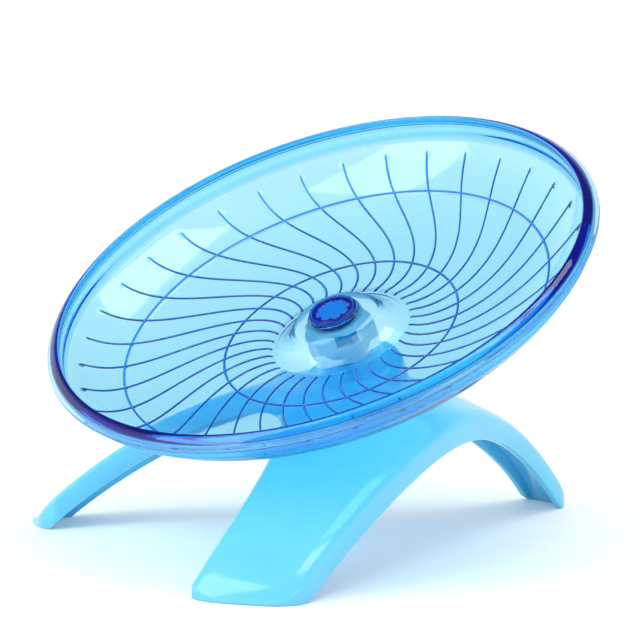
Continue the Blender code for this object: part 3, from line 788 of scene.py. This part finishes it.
# each point of the outline, with how far it is into its arch: 0 at the toes and 1 at the arch's middle
outline = []
for leg in range(3):
    following = (leg + 1) % 3
    for i in range(toe_steps + 1):
        outline.append((toe_point(leg, i / toe_steps), 0.0))
    start, end = toe_point(leg, 1.0), toe_point(following, 0.0)
    start_handle = start - leg_directions(leg)[1] * leg_reaches[leg] * arch_handle_share
    end_handle = end - leg_directions(following)[1] * leg_reaches[following] * arch_handle_share
    for i in range(1, arch_steps):
        share = i / arch_steps
        rest = 1 - share
        point = start * rest ** 3 + start_handle * 3 * rest ** 2 * share
        point = point + end_handle * 3 * rest * share ** 2 + end * share ** 3
        outline.append((point, (1 - math.cos(2 * math.pi * share)) / 2))
print("outline points:", len(outline))

# %% [markdown]
# ## The crown's curve
#
# From the side the stand is a soft dome that falls to the floor at each toe. One power curve gives the
# height over any point, and the radius at which it would reach the floor eases from leg to leg.

# %% Crown curve
crown_height = 51.1
crown_power = 1.86
crown_fall = 0.88
toe_height = 2.8
under_slant = 1.6


def crown_radius(point):
    """Where the crown's curve would meet the floor in a point's direction."""
    toe_share = (toe_height / crown_height) ** (1 / crown_fall)
    feet = [reach / (1 - toe_share) ** (1 / crown_power) for reach in leg_reaches]
    turn = math.atan2(point.y, point.x)
    for leg in range(3):
        following = (leg + 1) % 3
        gap = (leg_angles[following] - leg_angles[leg]) % (2 * math.pi)
        along = (turn - leg_angles[leg]) % (2 * math.pi)
        if along <= gap:
            ease = (1 - math.cos(math.pi * along / gap)) / 2
            return feet[leg] + (feet[following] - feet[leg]) * ease
    return feet[0]


def crown_surface(point, under=0.0):
    """Height of the stand's upper face over a point, or of the face a wall's thickness inside it."""
    share = point.length / (crown_radius(point) - under * under_slant)
    return (crown_height - under) * max(1 - share ** crown_power, 0.0) ** crown_fall


print("crown height over the side leg's middle:",
      round(crown_surface(leg_directions(0)[0] * leg_reaches[0] / 2), 1), "mm")

# %% [markdown]
# ## The turned-down edge
#
# The upper face rolls over a round brow into a thin flange, ends in a narrow sole, and comes up again
# inside. A Solidify modifier would give the wall, but not the round sole or a flange that changes from leg to
# arch. So we draw the section, and later place one at every point of the outline.

# %% Edge section
stand_wall = 2.5
edge_drop = 1.92
leg_flange = 9.0
arch_flange = 7.7
brow_steps = 8
lip_round = 0.5
soft_share = 0.3
ceiling_share = 1.2


def edge_section(edge, ridge, inner, arch):
    """The section of the turned-down edge at one point of the outline."""
    top = crown_surface(edge)
    sole = max(top - leg_flange - (arch_flange - leg_flange) * arch, 0.0)
    lip = max(top - edge_drop, sole + toe_height / 4)
    section = []
    for i in range(1, brow_steps + 1):
        turn = math.pi / 2 * i / brow_steps
        spot = ridge + (edge - ridge) * math.sin(turn)
        section.append((spot, max(crown_surface(spot) - edge_drop * (1 - math.cos(turn)), lip)))
    inward = (inner - edge).normalized() * lip_round
    soft = min(lip_round, (lip - sole) / 2)
    nearly = sole + soft * soft_share
    section += [(edge, sole + soft), (edge + inward * soft_share, nearly), (edge + inward, sole)]
    section += [(inner - inward, sole), (inner - inward * soft_share, nearly), (inner, sole + soft)]
    section.append((inner, max(crown_surface(inner, stand_wall), sole + soft * ceiling_share)))
    return [(spot.x, spot.y, height) for spot, height in section]


print("the flange is", leg_flange, "mm deep at a leg and", arch_flange, "mm in an arch")

# %% [markdown]
# ## The crown's patch
#
# Inside its brow the crown is one broad face. We start from the flat outline and cut it into small cells with
# straight planes, so that it can bend. A remesh would make cells too, but would lose the edge. The same cells,
# turned over, make the underside.

# %% Patch
edge_round = 4.0
cell = 2.6
least_cell_share = 0.08


def drawn_in(points, distance):
    """An outline drawn in by a distance, with mitred corners."""
    moved = []
    for i, point in enumerate(points):
        before = (point - points[i - 1]).normalized()
        after = (points[(i + 1) % len(points)] - point).normalized()
        inward = Vector((-before.y - after.y, before.x + after.x)) / (1 + before.dot(after))
        moved.append(point + inward * distance)
    return moved


def border_of(mesh):
    """The vertices round a patch, in order."""
    onward = {loop.vert: loop.link_loop_next.vert for face in mesh.faces for loop in face.loops
              if loop.edge.is_boundary}
    border = [next(iter(onward))]
    while onward[border[-1]] is not border[0]:
        border.append(onward[border[-1]])
    return border


edges = [point for point, _ in outline]
ridges, inners = drawn_in(edges, edge_round), drawn_in(edges, stand_wall)
shell = bmesh.new()
shell.faces.new([shell.verts.new((point.x, point.y, 0)) for point in ridges])
for axis in range(2):
    low, high = min(point[axis] for point in ridges), max(point[axis] for point in ridges)
    count = math.ceil((high - low) / cell)
    line = Vector((1 - axis, axis, 0))
    for i in range(1, count):
        bmesh.ops.bisect_plane(shell, geom=shell.verts[:] + shell.edges[:] + shell.faces[:],
                               plane_co=line * (low + (high - low) * i / count), plane_no=line,
                               dist=cell * least_cell_share)
upper = list(shell.faces)
border = border_of(shell)
under_side = {vertex: shell.verts.new(vertex.co) for face in upper for vertex in face.verts}
for face in upper:
    shell.faces.new([under_side[vertex] for vertex in reversed(face.verts)])
print("cells in the patch:", len(upper))

# %% [markdown]
# ## The stand's shell
#
# Each point of the patch's border gets an edge section, and faces join the neighbours. That closes the upper
# and the under side into one shell. Then both sides are lifted on to the crown's curve.

# %% Stand shell
axis_reach = 39.5
stand_middle = rim_middle - spin_axis * axis_reach * MM


def nearest_stretch(spot, outline):
    """Which stretch of an outline a border point lies on, and how far along it."""
    best = None
    for i, start in enumerate(outline):
        stretch = outline[(i + 1) % len(outline)] - start
        along = min(max((spot - start).dot(stretch) / stretch.length_squared, 0.0), 1.0)
        miss = (start + stretch * along - spot).length
        if best is None or miss < best[0]:
            best = (miss, i, along)
    return best[1:]


sections = []
for vertex in border:
    i, along = nearest_stretch(vertex.co.to_2d(), ridges)
    j = (i + 1) % len(outline)
    arch = outline[i][1] + (outline[j][1] - outline[i][1]) * along
    points = edge_section(edges[i].lerp(edges[j], along), ridges[i].lerp(ridges[j], along),
                          inners[i].lerp(inners[j], along), arch)
    sections.append([vertex] + [shell.verts.new(point) for point in points] + [under_side[vertex]])
for here, beside in zip(sections, sections[1:] + sections[:1]):
    for i in range(len(here) - 1):
        shell.faces.new((beside[i], here[i], here[i + 1], beside[i + 1]))
for top_vertex, bottom_vertex in under_side.items():
    spot = top_vertex.co.to_2d()
    top_vertex.co.z = crown_surface(spot)
    bottom_vertex.co.z = crown_surface(spot, stand_wall)
bmesh.ops.scale(shell, vec=(MM, MM, MM), verts=shell.verts)
bmesh.ops.translate(shell, vec=(stand_middle.x, stand_middle.y, 0), verts=shell.verts)
stand = show_mesh("stand_moulding", shell)
print("stand shell faces:", len(stand.data.polygons))

# %% [markdown]
# ## The boss
#
# A tilted boss rises from the crown and carries the bolt. It is turned about the spin axis, flows out into
# the crown with a wide fillet, and is joined to the shell by a Boolean. Then the bolt's hole and the
# six-sided pocket for its head are cut from below.

# %% Boss, bolt hole and pocket
boss_radius = 9.5
boss_root = 16.0
boss_depth = 14.0
land_radius = 4.5
land_height = 1.1
gap = 0.3
washer = 0.8
bolt_head_height = 3.5
bolt_hole_radius = 2.5
pocket_corner = 8.5 / math.sqrt(3)
fillet_steps = 8
overrun = 2
boss_land_top = -bearing_depth / MM - bearing_half - gap - washer - gap
boss_top = boss_land_top - land_height
crown_level = -axis_reach
boss_bottom = crown_level - boss_depth
head_seat = boss_bottom + bolt_head_height
cut_top, cut_bottom = boss_land_top + overrun, boss_bottom - overrun


def turned(name, profile, steps):
    """A shape turned about the wheel's axis from a profile that starts and ends on it."""
    mesh = bmesh.new()
    rings = []
    for radius, height in profile:
        if radius == 0:
            rings.append([mesh.verts.new(Vector((0, 0, height)) * MM)] * steps)
        else:
            rings.append([mesh.verts.new(point) for point in turned_row(height, steps, lambda turn: radius)])
    for above, below in zip(rings, rings[1:]):
        for i in range(steps):
            j = (i + 1) % steps
            corners = dict.fromkeys((above[i], below[i], below[j], above[j]))
            mesh.faces.new(list(corners))
    made = show_mesh(name, mesh)
    made.matrix_world = wheel_frame
    return made


root_top = crown_level + 0.5
flow = []
for i in range(fillet_steps + 1):
    turn = math.pi / 2 * i / fillet_steps
    flow.append((boss_radius + (boss_root - boss_radius) * (1 - math.sin(turn)),
                 root_top + (boss_top - 2.2 - root_top) * (1 - math.cos(turn))))
boss_profile = [(0, boss_land_top), (land_radius - 0.3, boss_land_top), (land_radius, boss_land_top - 0.3),
                (land_radius, boss_top), (boss_radius - 0.8, boss_top), (boss_radius - 0.23, boss_top - 0.23),
                (boss_radius, boss_top - 0.8)]
boss_profile += reversed(flow)
boss_profile += [(boss_root, crown_level - boss_depth * 0.45), (boss_radius, boss_bottom), (0, boss_bottom)]
hole_profile = [(0, cut_top), (bolt_hole_radius, cut_top), (bolt_hole_radius, cut_bottom), (0, cut_bottom)]
pocket_profile = [(0, head_seat), (pocket_corner, head_seat), (pocket_corner, cut_bottom), (0, cut_bottom)]
work(stand, turned("boss", boss_profile, 64), 'UNION')
work(stand, turned("bolt_hole", hole_profile, 48), 'DIFFERENCE')
work(stand, turned("head_pocket", pocket_profile, 6), 'DIFFERENCE')
stand.data.shade_smooth()
stand.data.set_sharp_from_angle(angle=math.radians(32))
print("stand faces:", len(stand.data.polygons))

# %% [markdown]
# ## Cyan moulded plastic
#
# The stand is opaque high-impact polystyrene, light cyan right through and glossy from a polished mould.
# Its soft glow comes from light that goes a few millimetres in and out again, so the shader has a share of
# subsurface light. A faint cloudiness, 30 mm wide, and polish marks of 1.2 mm keep its broad face from
# looking painted.

# %% Stand finish
cloud_size = 30 * MM
polish_size = 1.2 * MM
cyan, tree, shader = new_material("cyan_polystyrene", Roughness=0.1, IOR=1.59, Subsurface_Weight=0.2,
                                  Subsurface_Scale=0.004)
shader.inputs["Subsurface Radius"].default_value = (0.35, 0.9, 1.0)
shape = add_node(tree, 'ShaderNodeTexCoord')
clouds = add_node(tree, 'ShaderNodeTexNoise', links={"Vector": shape.outputs["Object"]},
                  inputs={"Scale": 1 / cloud_size, "Detail": 3.0, "Roughness": 0.5})
tone = add_node(tree, 'ShaderNodeValToRGB', links={"Fac": clouds.outputs["Fac"]})
tone.color_ramp.elements[0].position, tone.color_ramp.elements[1].position = 0.3, 0.7
tone.color_ramp.elements[0].color = linear("#70d5fb")
tone.color_ramp.elements[1].color = linear("#79dbff")
tree.links.new(tone.outputs["Color"], shader.inputs["Base Color"])
marks = add_node(tree, 'ShaderNodeTexNoise', inputs={"Scale": 1 / polish_size, "Detail": 2.0},
                 links={"Vector": shape.outputs["Object"]})
polish = add_node(tree, 'ShaderNodeMapRange', inputs={"To Min": 0.06, "To Max": 0.13},
                  links={"Value": marks.outputs["Fac"]})
tree.links.new(polish.outputs["Result"], shader.inputs["Roughness"])
polish_bump = add_node(tree, 'ShaderNodeBump', inputs={"Strength": 0.04, "Distance": 0.1 * MM},
                       links={"Height": marks.outputs["Fac"]})
tree.links.new(polish_bump.outputs["Normal"], shader.inputs["Normal"])
stand.data.materials.clear()
stand.data.materials.append(cyan)
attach(stand, "stand")
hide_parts("stand")
print("stand finished")

# %% [markdown]
# ## Zinc-plated steel
#
# The bolt, the nut and the washers are true shapes already, as are the bearing's pieces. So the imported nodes
# stay and only get finishes. The fasteners are zinc-plated steel, a grey metal whose plating is duller in
# some spots than in others. Those spots are 1.6 mm wide.

# %% Zinc plate
def finish_nodes(names, material):
    """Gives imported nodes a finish."""
    for name in names:
        for material_slot in frame["nodes"][name].material_slots:
            material_slot.material = material


plating_size = 1.6 * MM
zinc, tree, shader = new_material("zinc_plated_steel", Base_Color=linear("#c3c8cd"), Metallic=1.0,
                                  Roughness=0.3)
shape = add_node(tree, 'ShaderNodeTexCoord')
plating = add_node(tree, 'ShaderNodeTexNoise', inputs={"Scale": 1 / plating_size, "Detail": 4.0},
                   links={"Vector": shape.outputs["Object"]})
dullness = add_node(tree, 'ShaderNodeMapRange', inputs={"To Min": 0.22, "To Max": 0.42},
                    links={"Value": plating.outputs["Fac"]})
tree.links.new(dullness.outputs["Result"], shader.inputs["Roughness"])
plating_bump = add_node(tree, 'ShaderNodeBump', inputs={"Strength": 0.15, "Distance": 0.1 * MM},
                        links={"Height": plating.outputs["Fac"]})
tree.links.new(plating_bump.outputs["Normal"], shader.inputs["Normal"])
finish_nodes(["axle_bolt", "lock_nut", "upper_washer", "lower_washer"], zinc)
print("fasteners finished in", zinc.name)

# %% [markdown]
# ## Ground bearing steel
#
# The bearing's rings, balls and shields are chrome steel, bright from grinding, which leaves marks round the
# axis. So the ring pattern is turned to that axis. A wave texture repeats about three times in its size, so
# 1.6 mm gives marks 0.5 mm apart.

# %% Bearing steel
ring_wave_size = 1.6 * MM
ground, tree, shader = new_material("ground_bearing_steel", Base_Color=linear("#d5d7da"), Metallic=1.0,
                                    Roughness=0.14)
shape = add_node(tree, 'ShaderNodeTexCoord')
about_axis = add_node(tree, 'ShaderNodeMapping', vector_type='TEXTURE',
                      links={"Vector": shape.outputs["Object"]},
                      inputs={"Location": rim_middle, "Rotation": wheel_frame.to_euler()})
marks = add_node(tree, 'ShaderNodeTexWave', wave_type='RINGS', rings_direction='Z',
                 inputs={"Scale": 1 / ring_wave_size, "Distortion": 0.4},
                 links={"Vector": about_axis.outputs["Vector"]})
marks_bump = add_node(tree, 'ShaderNodeBump', inputs={"Strength": 0.2, "Distance": 0.05 * MM},
                      links={"Height": marks.outputs["Fac"]})
tree.links.new(marks_bump.outputs["Normal"], shader.inputs["Normal"])
finish_nodes(["bearing_inner_ring", "bearing_outer_ring", "bearing_shield_upper", "bearing_shield_lower"]
             + [f"bearing_ball_{i}" for i in range(1, 8)], ground)
print("bearing finished in", ground.name)

# %% [markdown]
# ## Ivory nylon
#
# The ball cage is moulded from undyed nylon, which is ivory and waxy: its gloss is dull, and a little light
# goes in under its surface. Its grain is 0.6 mm wide.

# %% Cage nylon
grain_size = 0.6 * MM
nylon, tree, shader = new_material("ivory_nylon", Base_Color=linear("#ebe4cf"), Roughness=0.48, IOR=1.53,
                                   Subsurface_Weight=0.2, Subsurface_Scale=0.001)
shape = add_node(tree, 'ShaderNodeTexCoord')
grains = add_node(tree, 'ShaderNodeTexNoise', inputs={"Scale": 1 / grain_size},
                  links={"Vector": shape.outputs["Object"]})
grain_bump = add_node(tree, 'ShaderNodeBump', inputs={"Strength": 0.2, "Distance": 0.1 * MM},
                      links={"Height": grains.outputs["Fac"]})
tree.links.new(grain_bump.outputs["Normal"], shader.inputs["Normal"])
finish_nodes(["bearing_cage"], nylon)
print("cage finished in", nylon.name)

# %% [markdown]
# ## Closing the lesson
#
# Last, the scene is brought up to date. The dressed model has to stay inside the
# imported model's box.

# %% Finish
bpy.context.view_layer.update()
